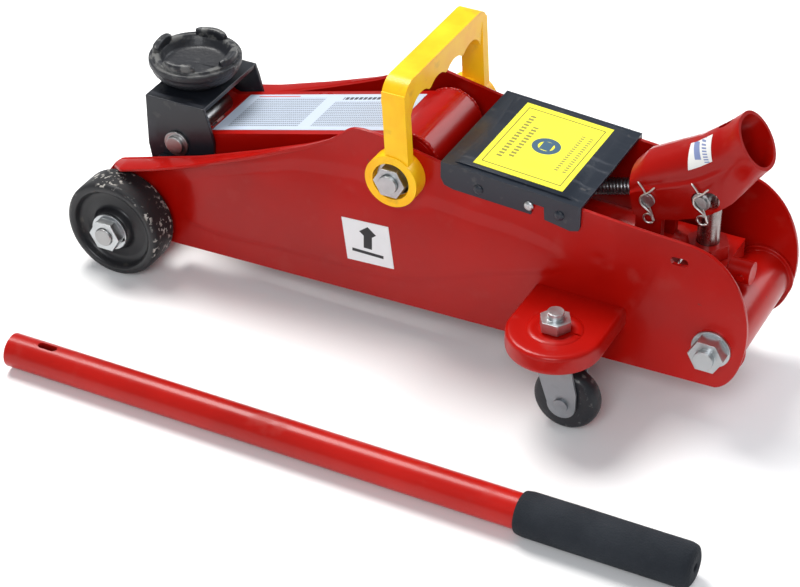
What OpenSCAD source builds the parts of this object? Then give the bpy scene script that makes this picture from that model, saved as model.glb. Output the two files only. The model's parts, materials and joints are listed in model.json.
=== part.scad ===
// Trolley jack, 2 ton, with its loose handle bar lying beside it. Millimetres.
// X runs from the saddle end to the handle end, Z is up, the ground is z = 0.
// Sub-parts are laid out from the front axle, then placed about the whole footprint.

/* [Frame] */
// half width of the chassis over the side plates
plate_y = 44.3; // [40:0.1:50]
// side plate thickness
plate_t = 2.5; // [2:0.1:3.5]
// height of the side plate at its highest point
plate_top = 140; // [137:0.5:143]
// width of the turned-out front flange
flange_w = 15; // [8:0.5:18]
// outer radius of the rear cross tube
rear_r = 17; // [14:0.5:17]

/* [Front wheels] */
// front wheel radius
wheel_r = 33.3; // [32:0.1:33.3]
// front wheel width
wheel_w = 24; // [18:0.5:24]
// across flats of the axle nuts
axle_nut_af = 19; // [17:0.5:22]

/* [Casters] */
// caster wheel radius
caster_r = 20.5; // [19:0.1:20.5]
// caster wheel width
caster_w = 14; // [10:0.5:15]
// how far the caster axle trails its kingpin
caster_trail = 10; // [8:0.5:12]
// kingpin distance from the side plate
king_out = 36.7; // [35:0.1:38]
// outer radius of the caster bracket
bracket_r = 29; // [27:0.5:30]

/* [Lift] */
// half width of the lift arm over its flanges
arm_y = 29; // [26:0.5:29]
// lift arm sheet thickness
arm_t = 3.5; // [2.5:0.1:4.5]
// saddle rim radius
saddle_r = 29.5; // [27:0.5:31]
// height of the saddle teeth
tooth_h = 7; // [4:0.5:9]
// parallel link half width
link_w = 6; // [5:0.5:7]

/* [Pump] */
// ram rod radius
ram_r = 11; // [9:0.5:12]
// hydraulic cylinder outer radius
cyl_r = 23; // [20:0.5:24]
// pump plunger radius
plunger_r = 6.75; // [5:0.25:7]
// across flats of the pump cylinder
pump_af = 23; // [21:0.5:24]

/* [Handles] */
// handle socket bore radius
socket_r = 12; // [11:0.1:12.5]
// width of a carry handle leg seen from the side
leg_w = 15; // [11:0.5:16]
// top of the carry handle
carry_top = 183; // [180:0.5:186]
// handle bar tube radius
bar_r = 10.5; // [9:0.1:10.5]
// handle grip radius
grip_r = 13.25; // [12:0.05:13.25]
// length of the whole handle bar
bar_len = 442; // [380:1:600]
// length of the foam grip
grip_len = 104; // [80:1:130]

/* [Hidden] */
$fn = 64;
fit = 0.05;
axle_z = wheel_r;
wheel_out = plate_y + 27.2;
king_y = plate_y + king_out;
deck_z = 2 * caster_r + 22;
pin_y = socket_r + 8.5;
eye_r = plunger_r - 0.6;
spring_y = plate_y - plate_t - 6.2;
pivot_x = 192;
pivot_z = 117;
shaft_r = 7;
pin_x = 29.3;
pin_z = 85.7;
saddle_x = 25;
link_dx = -8;
link_dz = -18;
ram_z = 76;
lever_x = 217.05;
lever_z = 78.4;
hinge_x = 338.8;
hinge_z = 125.6;
plunger_x = 371;
eye_z = 133.7;
rear_x = 393.5;
rear_z = 55;
king_x = 311;
bar_y = -180;
bar_x0 = -2;
bar_x1 = bar_x0 + bar_len;
inner_y = plate_y - plate_t;
bar_tilt = atan((grip_r + 0.05 - bar_r) / bar_len);
x_mid = (bar_x1 - wheel_r) / 2;
y_mid = (king_y + bracket_r + bar_y - grip_r) / 2;

module place() {
  translate([-x_mid, -y_mid, 0]) children();
}

module flip() {
  mirror([0, 1, 0]) children();
}

// round bar along Y at (x, z), from y0 to y1
module bar_along_y(x, z, r, y0, y1) {
  translate([x, y0, z]) rotate([-90, 0, 0]) cylinder(r = r, h = y1 - y0);
}

// hexagon along Y at (x, z)
module hex_along_y(x, z, af, y0, y1) {
  translate([x, y0, z]) rotate([-90, 0, 0])
    cylinder(r = af / 2 / cos(30), h = y1 - y0, $fn = 6);
}

// round bar along X at (y, z)
module bar_along_x(y, z, r, x0, x1) {
  translate([x0, y, z]) rotate([0, 90, 0]) cylinder(r = r, h = x1 - x0);
}

// sheet with an outline drawn in X and Z, from y0 to y1
module sheet(pts, y0, y1) {
  translate([0, y1, 0]) rotate([90, 0, 0]) linear_extrude(y1 - y0) polygon(pts);
}

// straight bar with round ends in X and Z, from y0 to y1
module rounded_bar(xa, za, xb, zb, r, y0, y1) {
  len = sqrt((xb - xa) * (xb - xa) + (zb - za) * (zb - za));
  translate([xa, 0, za]) rotate([0, -atan2(zb - za, xb - xa), 0])
    translate([0, y0, -r]) cube([len, y1 - y0, 2 * r]);
  bar_along_y(xa, za, r, y0, y1);
  bar_along_y(xb, zb, r, y0, y1);
}

// ---------------------------------------------------------------- frame

plate_outline = [[-18, 57], [-6, 70.7], [53, 88.5], [96, 105], [132, 120],
  [149, 129], [156, plate_top - 3], [162.5, plate_top], [176, plate_top - 0.4],
  [218.5, 131.5], [309, 125.5], [345, 122.4], [379, 120.4], [390, 117],
  [398, 112], [404.5, 105], [410, 94], [413.7, 68], [412.4, 51], [408, 37],
  [397.4, 27.3], [22.5, 16.5], [3, 16]];
spear = [[37.4, 41.2], [42.2, 34.5], [62, 31.9], [120.8, 35], [169.3, 36.5],
  [194.1, 38.6], [222, 47.2], [246.5, 58.6], [282.1, 70.5], [311.7, 82.7],
  [306.2, 90.9], [293.4, 93.9], [269.6, 97.9], [239.7, 99.4], [216, 100.6]];
edge_band = [[-6, 70.7], [53, 88.5], [96, 105], [132, 120], [149, 129],
  [150.5, 126.2], [133, 117], [97, 102.2], [54, 85.6], [-4.5, 67.8]];
flange_plan = [[-6, 0], [-6, flange_w], [25, flange_w], [152, 0]];

module side_plate() {
  color([0.74, 0.05, 0.03])
  difference() {
    union() {
      sheet(plate_outline, -plate_y, -inner_y);
      bar_along_y(3, 41, 25, -plate_y, -inner_y);
      sheet(spear, -plate_y - 1.2, -plate_y + 0.1);
      intersection() {
        sheet(edge_band, -plate_y - flange_w, -plate_y);
        translate([0, -plate_y, 0]) mirror([0, 1, 0]) linear_extrude(200) polygon(flange_plan);
      }
      sheet([[25, 16.57], [395, 27.2], [395, 29.2], [25, 18.57]], -inner_y, -inner_y + 8);
    }
    bar_along_y(0, axle_z, 7.5 + fit, -90, -30);
    bar_along_y(pivot_x, pivot_z, shaft_r + fit, -90, -30);
    bar_along_y(rear_x, rear_z, 6 + fit, -90, -30);
    bar_along_y(pivot_x + link_dx, pivot_z + link_dz, 4 + fit, -90, -30);
    translate([363.5, -60, 105.8]) cube([12.5, 30, 3.8]);
    for (x = [244.3, 276.7, 296]) bar_along_y(x, 127.5 - 0.055 * (x - 200) - 4, 2 + fit, -90, -30);
  }
}

module left_side_plate() { place() side_plate(); }
module right_side_plate() { place() flip() side_plate(); }

module front_axle() {
  place() color([0.62, 0.62, 0.6]) {
    bar_along_y(0, axle_z, 7.5, -wheel_out - 0.1, wheel_out + 0.1);
    bar_along_y(0, axle_z, 6, -wheel_out - 9.5, wheel_out + 9.5);
  }
}

module front_spacer_tube() {
  place() color([0.74, 0.05, 0.03])
  difference() {
    union() {
      bar_along_y(0, axle_z, 11, -inner_y, inner_y);
      bar_along_y(0, axle_z, 14, -inner_y, -inner_y + 3);
      bar_along_y(0, axle_z, 14, inner_y - 3, inner_y);
    }
    bar_along_y(0, axle_z, 7.5 + fit, -60, 60);
  }
}

// wheel with a dished web and a raised hub; the outer face looks to -Y
module front_wheel() {
  r = wheel_r;
  o = -wheel_out;
  i = o + wheel_w;
  color([0.07, 0.07, 0.08])
  translate([0, 0, axle_z]) rotate([-90, 0, 0]) rotate_extrude()
    polygon([[7.5 + fit, o], [13, o], [14, o + 2], [23.5, o + 5], [26, o + 1],
      [27, o], [r - 2, o], [r - 0.6, o + 0.8], [r, o + 2.5], [r, i - 2.5],
      [r - 0.6, i - 0.8], [r - 2, i], [27, i], [24, i - 5], [14, i - 5],
      [13, i], [13, -plate_y - 0.1], [7.5 + fit, -plate_y - 0.1]]);
}

module left_front_wheel() { place() front_wheel(); }
module right_front_wheel() { place() flip() front_wheel(); }

module axle_nut() {
  color([0.78, 0.78, 0.75])
  difference() {
    union() {
      bar_along_y(0, axle_z, 12.5, -wheel_out - 1.9, -wheel_out - 0.1);
      hex_along_y(0, axle_z, axle_nut_af, -wheel_out - 7.9, -wheel_out - 1.9);
    }
    bar_along_y(0, axle_z, 6 + fit, -wheel_out - 20, -wheel_out + 5);
  }
}

module left_axle_nut() { place() axle_nut(); }
module right_axle_nut() { place() flip() axle_nut(); }

module rear_tube() {
  place() color([0.74, 0.05, 0.03])
  difference() {
    union() {
      bar_along_y(rear_x, rear_z, rear_r, -inner_y, inner_y);
      bar_along_y(rear_x, rear_z, rear_r + 2.5, -inner_y, -inner_y + 2);
      bar_along_y(rear_x, rear_z, rear_r + 2.5, inner_y - 2, inner_y);
    }
    bar_along_y(rear_x, rear_z, 6 + fit, -60, 60);
    bar_along_y(rear_x, rear_z, rear_r - 2.5, -inner_y + 5.8, inner_y - 5.8);
  }
}

module rear_bolt() {
  place() color([0.78, 0.78, 0.75])
  for (s = [0, 1]) mirror([0, s, 0]) {
    bar_along_y(rear_x, rear_z, 6, -plate_y - 14.7, 0);
    bar_along_y(rear_x, rear_z, 12, -plate_y - 1.9, -plate_y);
    hex_along_y(rear_x, rear_z, 19, -plate_y - 10.7, -plate_y - 1.9);
  }
}

// ---------------------------------------------------------------- lift

module pivot_shaft() {
  place() color([0.62, 0.62, 0.6]) {
    bar_along_y(pivot_x, pivot_z, shaft_r, -plate_y - 6.3, plate_y + 6.3);
    bar_along_y(pivot_x, pivot_z, 6, -plate_y - 17.2, plate_y + 17.2);
  }
}

module pivot_nut() {
  color([0.78, 0.78, 0.75])
  difference() {
    union() {
      bar_along_y(pivot_x, pivot_z, 11.2, -plate_y - 7.9, -plate_y - 6.3);
      hex_along_y(pivot_x, pivot_z, 18, -plate_y - 14.7, -plate_y - 7.9);
    }
    bar_along_y(pivot_x, pivot_z, 6 + fit, -plate_y - 25, -plate_y);
  }
}

module left_pivot_nut() { place() pivot_nut(); }
module right_pivot_nut() { place() flip() pivot_nut(); }

// top line of the arm's web
function web_z(x) = 95.5 + 0.27174 * (x - 48);

module arm_flange() {
  sheet([[28, 96.7], [40, web_z(40)], [48, web_z(48)], [186, web_z(186)],
    [200, 133.7], [210.3, 114], [228.8, 81], [206, 72], [186, 96],
    [150, 92], [96, 82], [48, 74.8], [28, 74.8]], -arm_y, -arm_y + arm_t);
  bar_along_y(pin_x, pin_z, 11, -arm_y, -arm_y + arm_t);
  bar_along_y(lever_x, lever_z, 12, -arm_y, -arm_y + arm_t);
}

module lift_arm() {
  place() color([0.74, 0.05, 0.03])
  difference() {
    union() {
      arm_flange();
      flip() arm_flange();
      sheet([[48, web_z(48)], [186, web_z(186)], [187, web_z(187) - arm_t - 0.5],
        [49, web_z(49) - arm_t - 0.1]], -arm_y, arm_y);
      bar_along_y(pivot_x, pivot_z, 18.5, -arm_y, arm_y);
    }
    bar_along_y(pivot_x, pivot_z, 15 + fit, -60, 60);
    bar_along_y(pin_x, pin_z, 6 + fit, -60, 60);
    bar_along_y(lever_x, lever_z, 6, -60, 60);
    translate([180, -12.4, 62]) cube([60, 24.8, 37]);
  }
}

module pivot_tube() {
  place() color([0.6, 0.05, 0.03])
  difference() {
    union() {
      bar_along_y(pivot_x, pivot_z, 15 + fit, -arm_y, arm_y);
      bar_along_y(pivot_x, pivot_z, 9.2, -inner_y + 0.1, inner_y - 0.1);
    }
    bar_along_y(pivot_x, pivot_z, shaft_r + fit, -60, 60);
  }
}

module lever_pin() {
  place() color([0.62, 0.62, 0.6]) bar_along_y(lever_x, lever_z, 6, -arm_y, arm_y);
}

module push_roller() {
  place() color([0.55, 0.55, 0.53])
  difference() {
    bar_along_y(lever_x, lever_z, 9, -12, 12);
    bar_along_y(lever_x, lever_z, 6 + fit, -20, 20);
  }
}

module arm_label() {
  place() color([0.82, 0.86, 0.9])
  sheet([[50, web_z(50)], [176, web_z(176)], [176, web_z(176) + 0.3],
    [50, web_z(50) + 0.3]], -24, 24);
}

cheek = [[7.5, 115], [49.5, 115], [52, 108], [56, 92], [55, 80], [42, 66],
  [29.5, 60], [13, 60], [10, 66], [7.5, 80]];

module saddle_bracket() {
  place() color([0.06, 0.06, 0.08])
  difference() {
    union() {
      sheet(cheek, -arm_y - 4, -arm_y - 1.5);
      sheet(cheek, arm_y + 1.5, arm_y + 4);
      translate([7.5, -arm_y - 4, 112]) cube([42, 2 * arm_y + 8, 3]);
    }
    bar_along_y(pin_x, pin_z, 6 + fit, -60, 60);
    bar_along_y(pin_x + link_dx, pin_z + link_dz, 4 + fit, -60, 60);
    translate([saddle_x, 0, 100]) cylinder(r = 8 + fit, h = 30);
  }
}

module bracket_pin() {
  place() color([0.1, 0.1, 0.1]) {
    bar_along_y(pin_x, pin_z, 6, -arm_y - 8.5, arm_y + 8.5);
    bar_along_y(pin_x, pin_z, 8.6, -arm_y - 6, -arm_y - 4);
    bar_along_y(pin_x, pin_z, 8.6, arm_y + 4, arm_y + 6);
  }
}

module link_rod() {
  color([0.1, 0.1, 0.1])
  difference() {
    union() {
      rounded_bar(pin_x + link_dx, pin_z + link_dz, pivot_x + link_dx, pivot_z + link_dz,
        link_w, -arm_y - 8.5, -arm_y - 5);
      bar_along_y(pin_x + link_dx, pin_z + link_dz, link_w + 2, -arm_y - 8.5, -arm_y - 5);
      bar_along_y(pivot_x + link_dx, pivot_z + link_dz, link_w + 2, -arm_y - 8.5, -arm_y - 5);
    }
    bar_along_y(pin_x + link_dx, pin_z + link_dz, 4 + fit, -60, 0);
    bar_along_y(pivot_x + link_dx, pivot_z + link_dz, 4 + fit, -60, 0);
  }
}

module left_link_rod() { place() link_rod(); }
module right_link_rod() { place() flip() link_rod(); }

module link_stud() {
  color([0.62, 0.62, 0.6]) {
    bar_along_y(pin_x + link_dx, pin_z + link_dz, 4, -arm_y - 10.6, -arm_y - 1.5);
    bar_along_y(pin_x + link_dx, pin_z + link_dz, 7, -arm_y - 4.9, -arm_y - 4);
    bar_along_y(pin_x + link_dx, pin_z + link_dz, 7, -arm_y - 10.6, -arm_y - 8.6);
  }
}

module left_link_stud() { place() link_stud(); }
module right_link_stud() { place() flip() link_stud(); }

module anchor_stud() {
  color([0.62, 0.62, 0.6]) {
    bar_along_y(pivot_x + link_dx, pivot_z + link_dz, 4, -plate_y, -arm_y - 3);
    bar_along_y(pivot_x + link_dx, pivot_z + link_dz, 7, -arm_y - 4.9, -arm_y - 3);
    bar_along_y(pivot_x + link_dx, pivot_z + link_dz, 7, -inner_y, -arm_y - 8.6);
  }
}

module left_anchor_stud() { place() anchor_stud(); }
module right_anchor_stud() { place() flip() anchor_stud(); }

module saddle() {
  b = 115 + fit;
  r = saddle_r;
  place() color([0.06, 0.06, 0.08])
  translate([saddle_x, 0, 0]) {
    rotate_extrude() polygon([[0, 104], [8, 104], [8, b], [19.5, b], [20.5, 118],
      [24, 121], [r - 1.5, 124], [r, 126.5], [r, 131], [r - 6, 131],
      [r - 8, 127.5], [19, 126], [6, 125.5], [0, 125.5]]);
    difference() {
      rotate_extrude() polygon([[r - 7.5, 130.5], [r, 130.5], [r - 0.6, 131 + tooth_h],
        [r - 6.3, 131 + tooth_h]]);
      for (a = [0, 90, 180, 270]) rotate([0, 0, a + 50]) translate([10, -9, 131])
        cube([30, 18, 12]);
    }
  }
}

module saddle_nut() {
  place() color([0.62, 0.62, 0.6])
  difference() {
    translate([saddle_x, 0, 105]) cylinder(r = 11, h = 6.9, $fn = 6);
    translate([saddle_x, 0, 100]) cylinder(r = 8 + fit, h = 30);
  }
}

// ---------------------------------------------------------------- pump

module power_unit_block() {
  place() color([0.7, 0.05, 0.03])
  difference() {
    union() {
      sheet([[330, 48], [rear_x - rear_r - 2.5, 48], [rear_x - rear_r - 2.5, 62],
        [rear_x - rear_r + 2.5, rear_r + 49.5], [386, rear_r + 59], [386, 88],
        [330, 88]], -24, 24);
      bar_along_y(352, 64, 8, -inner_y, inner_y);
      for (y = [-socket_r - 2.9, socket_r - 3.1]) {
        sheet([[330.8, 87], [346.8, 87], [346.8, hinge_z], [330.8, hinge_z]], y, y + 6);
        bar_along_y(hinge_x, hinge_z, 8, y, y + 6);
      }
    }
    bar_along_y(hinge_x, hinge_z, 4 + fit, -30, 30);
    translate([plunger_x, 0, 80]) cylinder(r = 10, h = 20);
    translate([plunger_x, 0, 64]) cylinder(r = plunger_r + fit, h = 20);
    bar_along_x(0, 82, 5 + fit, 382, 400);
  }
}

module ram_cylinder() {
  place() color([0.7, 0.05, 0.03])
  difference() {
    bar_along_x(0, ram_z, cyl_r, 258, 330);
    bar_along_x(0, ram_z, ram_r + fit, 250, 326);
  }
}

module gland_nut() {
  place() color([0.5, 0.5, 0.5])
  difference() {
    translate([251, 0, ram_z]) rotate([0, 90, 0]) cylinder(r = 21, h = 7, $fn = 6);
    bar_along_x(0, ram_z, ram_r + fit, 240, 270);
  }
}

module ram() {
  place() color([0.7, 0.7, 0.7])
  difference() {
    union() {
      bar_along_x(0, ram_z, ram_r, 240, 324);
      bar_along_x(0, ram_z, 14, lever_x + 9.9, 249.5);
    }
    bar_along_y(241, ram_z, 4, -20, 20);
  }
}

module cross_pin() {
  place() color([0.62, 0.62, 0.6]) {
    bar_along_y(241, ram_z, 4, -inner_y + 1.4, inner_y - 1.4);
  }
}

// coil stood in for by a sleeve, with a hook at each end
module return_spring() {
  dx = 369.8 - 241;
  dz = 107.7 - ram_z;
  tilt = -atan2(dz, dx);
  span = sqrt(dx * dx + dz * dz);
  color([0.3, 0.3, 0.32])
  translate([241, -spring_y, ram_z]) {
    rotate([0, tilt, 0]) {
      difference() {
        bar_along_x(0, 0, 5.4, 12, span - 12);
        bar_along_x(0, 0, 3.9, 13.5, span - 13.5);
      }
      bar_along_x(0, 0, 0.8, 5, 13);
      bar_along_x(0, 0, 0.8, span - 13, span);
    }
    rotate([90, 0, 0]) difference() {
      translate([0, 0, -0.9]) cylinder(r = 6, h = 1.8);
      translate([0, 0, -2]) cylinder(r = 4.2, h = 4);
    }
    translate([dx, -plate_t - 7.5, dz]) rotate([-90, 0, 0]) cylinder(r = 1.1, h = plate_t + 8.5);
  }
}

module left_return_spring() { place() return_spring(); }
module right_return_spring() { place() flip() return_spring(); }

module pump_cylinder() {
  place() color([0.7, 0.68, 0.62])
  translate([plunger_x, 0, 0])
  difference() {
    union() {
      translate([0, 0, 88]) cylinder(r = pump_af / 2 / cos(30), h = 9, $fn = 6);
      translate([0, 0, 80]) cylinder(r = 10, h = 9);
    }
    translate([0, 0, 70]) cylinder(r = plunger_r + fit, h = 40);
  }
}

module pump_plunger() {
  place() color([0.75, 0.68, 0.66])
  difference() {
    union() {
      translate([plunger_x, 0, 73]) cylinder(r = plunger_r, h = 52);
      bar_along_y(plunger_x, eye_z, eye_r, -socket_r + 1, socket_r - 1);
      translate([plunger_x - eye_r, -eye_r, 122]) cube([2 * eye_r, 2 * eye_r, 11]);
    }
    bar_along_y(plunger_x, eye_z, 4, -30, 30);
  }
}

module plunger_pin() {
  place() color([0.78, 0.78, 0.75])
  difference() {
    union() {
      bar_along_y(plunger_x, eye_z, 4, -pin_y, pin_y - 1);
      bar_along_y(plunger_x, eye_z, 6.5, pin_y - 2.8, pin_y - 1);
    }
    translate([plunger_x, -pin_y + 1.5, 120]) cylinder(r = 0.9, h = 30, $fn = 24);
  }
}

module socket_pin() {
  place() color([0.78, 0.78, 0.75])
  difference() {
    union() {
      bar_along_y(hinge_x, hinge_z, 4, -pin_y, pin_y - 1);
      bar_along_y(hinge_x, hinge_z, 6.5, pin_y - 2.9, pin_y - 1);
    }
    translate([hinge_x, -pin_y + 1.5, 110]) cylinder(r = 0.9, h = 30, $fn = 24);
  }
}

// wire clip: a straight leg through the pin and a ring below it
module wire_clip(x, z) {
  color([0.8, 0.8, 0.78])
  translate([x, -pin_y + 1.5, z]) {
    translate([0, 0, -7.6]) cylinder(r = 0.8, h = 13.6);
    translate([0, 0, -11.5]) rotate([90, 0, 0]) difference() {
      translate([0, 0, -0.9]) cylinder(r = 4.9, h = 1.8);
      translate([0, 0, -2]) cylinder(r = 3.2, h = 4);
    }
  }
}

module plunger_clip() { place() wire_clip(plunger_x, eye_z); }
module socket_clip() { place() wire_clip(hinge_x, hinge_z); }

module release_valve() {
  place() color([0.6, 0.6, 0.58]) {
    bar_along_x(0, 82, 5, 382, 386.1);
    bar_along_x(0, 82, 7, 386.1, 400);
    bar_along_y(395, 82, 2, -8.5, 8.5);
  }
}

ear = [[324, 137], [330, 121], [332, 111.5], [342, 111.5], [366, 119], [382, 128.5],
  [398, 150], [396, 160], [383, 180], [350, 160.5], [334, 149]];

module handle_socket() {
  place() color([0.78, 0.05, 0.03])
  difference() {
    union() {
      sheet(ear, -socket_r - 5.5, -socket_r - 3);
      sheet(ear, socket_r + 3, socket_r + 5.5);
      translate([391.5, 0, 169]) rotate([0, 57, 0]) {
        translate([0, 0, -55]) cylinder(r = socket_r + 4.2, h = 55);
        translate([0, 0, -6]) cylinder(r = socket_r + 5.4, h = 6);
      }
    }
    translate([391.5, 0, 169]) rotate([0, 57, 0]) translate([0, 0, -53])
      cylinder(r = socket_r, h = 60);
    bar_along_y(hinge_x, hinge_z, 4, -30, 30);
    translate([hinge_x, 0, hinge_z]) rotate([0, -14.1, 0]) {
      translate([28.2 - eye_r, -socket_r - 0.4, -eye_r - 2])
        cube([13.1 + 2 * eye_r, 2 * socket_r + 0.8, 2 * eye_r + 4]);
      translate([32, -30, -5]) cube([6.5, 60, 10]);
      bar_along_y(32, 0, 5, -30, 30);
      bar_along_y(38.5, 0, 5, -30, 30);
    }
    translate([376.5, 0, 165]) cylinder(r = 3.5, h = 30);
  }
}

// ---------------------------------------------------------------- cover

function cover_z(x) = 131.5 - 0.0663 * (x - 218.5);
skirt = [[219.6, cover_z(219.6) + 1.8], [219.6, 122.4], [222, 118], [228, 116.3],
  [278, 113.7], [278.5, 121.3], [286, 120.9], [286.5, 112.6], [303, 109.6],
  [308, 111], [309, 114], [309, cover_z(309) + 1.8]];

module cover_plate() {
  place() color([0.07, 0.08, 0.1])
  difference() {
    union() {
      sheet([[219.6, cover_z(219.6)], [309, cover_z(309)], [309, cover_z(309) + 1.8],
        [219.6, cover_z(219.6) + 1.8]], -plate_y - 1.85, plate_y + 1.85);
      sheet([[226, cover_z(226) + 1.7], [303, cover_z(303) + 1.7],
        [298, cover_z(298) + 3], [231, cover_z(231) + 3]], -plate_y + 2.3, plate_y - 2.3);
      sheet(skirt, -plate_y - 1.85, -plate_y - fit);
      sheet(skirt, plate_y + fit, plate_y + 1.85);
    }
    for (x = [244.3, 276.7, 296])
      bar_along_y(x, 127.5 - 0.055 * (x - 200) - 4, 2 + fit, -60, 60);
  }
}

module cover_label() {
  place() color([0.92, 0.88, 0.3])
  sheet([[237, cover_z(237) + 3], [294, cover_z(294) + 3], [294, cover_z(294) + 3.3],
    [237, cover_z(237) + 3.3]], -plate_y + 5.8, plate_y - 6.3);
}

module cover_screws() {
  color([0.75, 0.75, 0.75])
  for (x = [244.3, 276.7, 296]) {
    bar_along_y(x, 127.5 - 0.055 * (x - 200) - 4, 2, -plate_y - 2.7, -inner_y + 1.3);
    bar_along_y(x, 127.5 - 0.055 * (x - 200) - 4, 3.6, -plate_y - 3.4, -plate_y - 1.85);
  }
}

module left_cover_screws() { place() cover_screws(); }
module right_cover_screws() { place() flip() cover_screws(); }

// ---------------------------------------------------------------- carry handle

module carry_leg() {
  rear = 203.6;
  front = rear - leg_w;
  sheet([[front, pivot_z + 5], [rear, pivot_z + 5], [rear - 3.1, carry_top - 7],
    [front - 3.1, carry_top - 7]], -plate_y - 11.2, -plate_y - 4.2);
}

module carry_handle() {
  x0 = 200.5 - leg_w;
  place() color([0.98, 0.75, 0.1])
  difference() {
    union() {
      difference() {
        union() {
          carry_leg();
          flip() carry_leg();
          translate([x0, -plate_y + 0.8, carry_top - 18]) cube([leg_w, 2 * plate_y - 1.6, 18]);
          for (y = [-plate_y + 0.8, plate_y - 0.8]) bar_along_x(y, carry_top - 12, 12, x0, x0 + leg_w);
        }
        for (n = [-3, -1, 1, 3]) bar_along_x(n * (plate_y - 0.3) / 4, carry_top - 29.5, 15,
          x0 - 5, x0 + leg_w + 5);
      }
      bar_along_y(pivot_x, pivot_z, 17, -plate_y - 12.2, -plate_y - 0.1);
      bar_along_y(pivot_x, pivot_z, 17, plate_y + 0.1, plate_y + 12.2);
    }
    for (s = [0, 1]) mirror([0, s, 0]) {
      bar_along_y(pivot_x, pivot_z, 12, -plate_y - 20, -plate_y - 6.2);
    }
    bar_along_y(pivot_x, pivot_z, shaft_r + fit, -plate_y - 30, plate_y + 30);
  }
}

module side_sticker() {
  place() color([0.95, 0.95, 0.93])
  sheet([[152.8, 74.6], [184.8, 76.5], [188.7, 47], [156.7, 45.2]], -plate_y - 1.5,
    -plate_y - 1.2);
}

// ---------------------------------------------------------------- casters

module caster_bracket() {
  color([0.74, 0.05, 0.03])
  difference() {
    union() {
      translate([king_x, -king_y, deck_z]) cylinder(r = bracket_r, h = 2.5);
      difference() {
        translate([king_x, -king_y, deck_z - 10]) cylinder(r = bracket_r, h = 11);
        translate([king_x, -king_y, deck_z - 13]) cylinder(r = bracket_r - 2.5, h = 13.1);
        translate([200, -king_y, deck_z - 23]) cube([200, 60, 23]);
      }
      translate([king_x - bracket_r, -king_y, deck_z]) cube([2 * bracket_r, king_y - plate_y, 2.5]);
      translate([king_x - bracket_r, -king_y, deck_z - 10]) cube([2.5, king_y - plate_y, 12]);
      translate([king_x + bracket_r - 2.5, -king_y, deck_z - 10]) cube([2.5, king_y - plate_y, 12]);
      sheet([[king_x - bracket_r, deck_z + 2.5], [king_x + bracket_r, deck_z + 2.5],
        [346, deck_z - 17], [346, deck_z - 30], [276, deck_z - 32], [276, deck_z - 17]],
        -plate_y - 2.5, -plate_y);
      translate([king_x, -king_y, deck_z + 2]) cylinder(r = 15, h = 1.5);
    }
    translate([king_x, -king_y, 30]) cylinder(r = 5 + fit, h = 60);
    translate([270, -plate_y - 1.25, 68]) cube([80, 1.25 + fit, 40]);
  }
}

module left_caster_bracket() { place() caster_bracket(); }
module right_caster_bracket() { place() flip() caster_bracket(); }

module kingpin() {
  color([0.78, 0.78, 0.75])
  translate([king_x, -king_y, 0]) {
    translate([0, 0, deck_z - 12.5]) cylinder(r = 5, h = 27.5);
    translate([0, 0, deck_z - 16.5]) cylinder(r = 8, h = 4.4);
    translate([0, 0, deck_z + 3.5]) cylinder(r = 17 / 2 / cos(30), h = 7, $fn = 6);
  }
}

module left_kingpin() { place() kingpin(); }
module right_kingpin() { place() flip() kingpin(); }

module caster_fork() {
  x1 = king_x + caster_trail;
  h = caster_w / 2;
  color([0.55, 0.57, 0.58])
  difference() {
    union() {
      translate([king_x, -king_y, deck_z - 12]) cylinder(r = 17, h = 5);
      translate([king_x, -king_y, deck_z - 7.5]) cylinder(r = 13, h = 7.4);
      for (s = [-1, 1]) {
        sheet([[king_x - 11, deck_z - 7.5], [king_x + 13, deck_z - 7.5],
          [x1 + 9, caster_r + 9.5], [x1 + 9, caster_r], [x1 - 9, caster_r]],
          -king_y + s * (h + 2.4) - 0.9, -king_y + s * (h + 2.4) + 0.9);
        bar_along_y(x1, caster_r, 9, -king_y + s * (h + 2.4) - 0.9, -king_y + s * (h + 2.4) + 0.9);
        bar_along_y(x1, caster_r, 4.5, -king_y + s * (h + 4) - 1, -king_y + s * (h + 4) + 1);
      }
      bar_along_y(x1, caster_r, 3, -king_y - h - 4, -king_y + h + 4);
    }
    translate([king_x, -king_y, deck_z - 23]) cylinder(r = 5 + fit, h = 40);
    translate([king_x, -king_y, deck_z - 23]) cylinder(r = 8.3, h = 11);
  }
}

module left_caster_fork() { place() caster_fork(); }
module right_caster_fork() { place() flip() caster_fork(); }

module caster_wheel() {
  r = caster_r;
  h = caster_w / 2;
  color([0.06, 0.06, 0.06])
  translate([king_x + caster_trail, -king_y, caster_r]) rotate([90, 0, 0]) rotate_extrude()
    polygon([[3.05, -h], [r - 5, -h], [r - 1.8, -h + 1.2], [r - 0.4, -h + 3.5],
      [r, 0], [r - 0.4, h - 3.5], [r - 1.8, h - 1.2], [r - 5, h], [3.05, h]]);
}

module left_caster_wheel() { place() caster_wheel(); }
module right_caster_wheel() { place() flip() caster_wheel(); }

// ---------------------------------------------------------------- loose handle bar

// along the bar's own axis, which rises slightly towards the grip
module on_bar() {
  translate([bar_x0, bar_y, bar_r]) rotate([0, -bar_tilt, 0]) children();
}

module handle_tube() {
  len = bar_x1 - bar_x0 - 3;
  place() color([0.75, 0.05, 0.03]) on_bar()
  difference() {
    bar_along_x(0, 0, bar_r, 0, len);
    bar_along_x(0, 0, bar_r - 1.8, -1, len + 1);
    translate([22, 0, 0]) cylinder(r = 2.5, h = 30);
    translate([30, 0, 0]) cylinder(r = 2.5, h = 30);
    translate([22, -2.5, 0]) cube([8, 5, 30]);
  }
}

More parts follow.
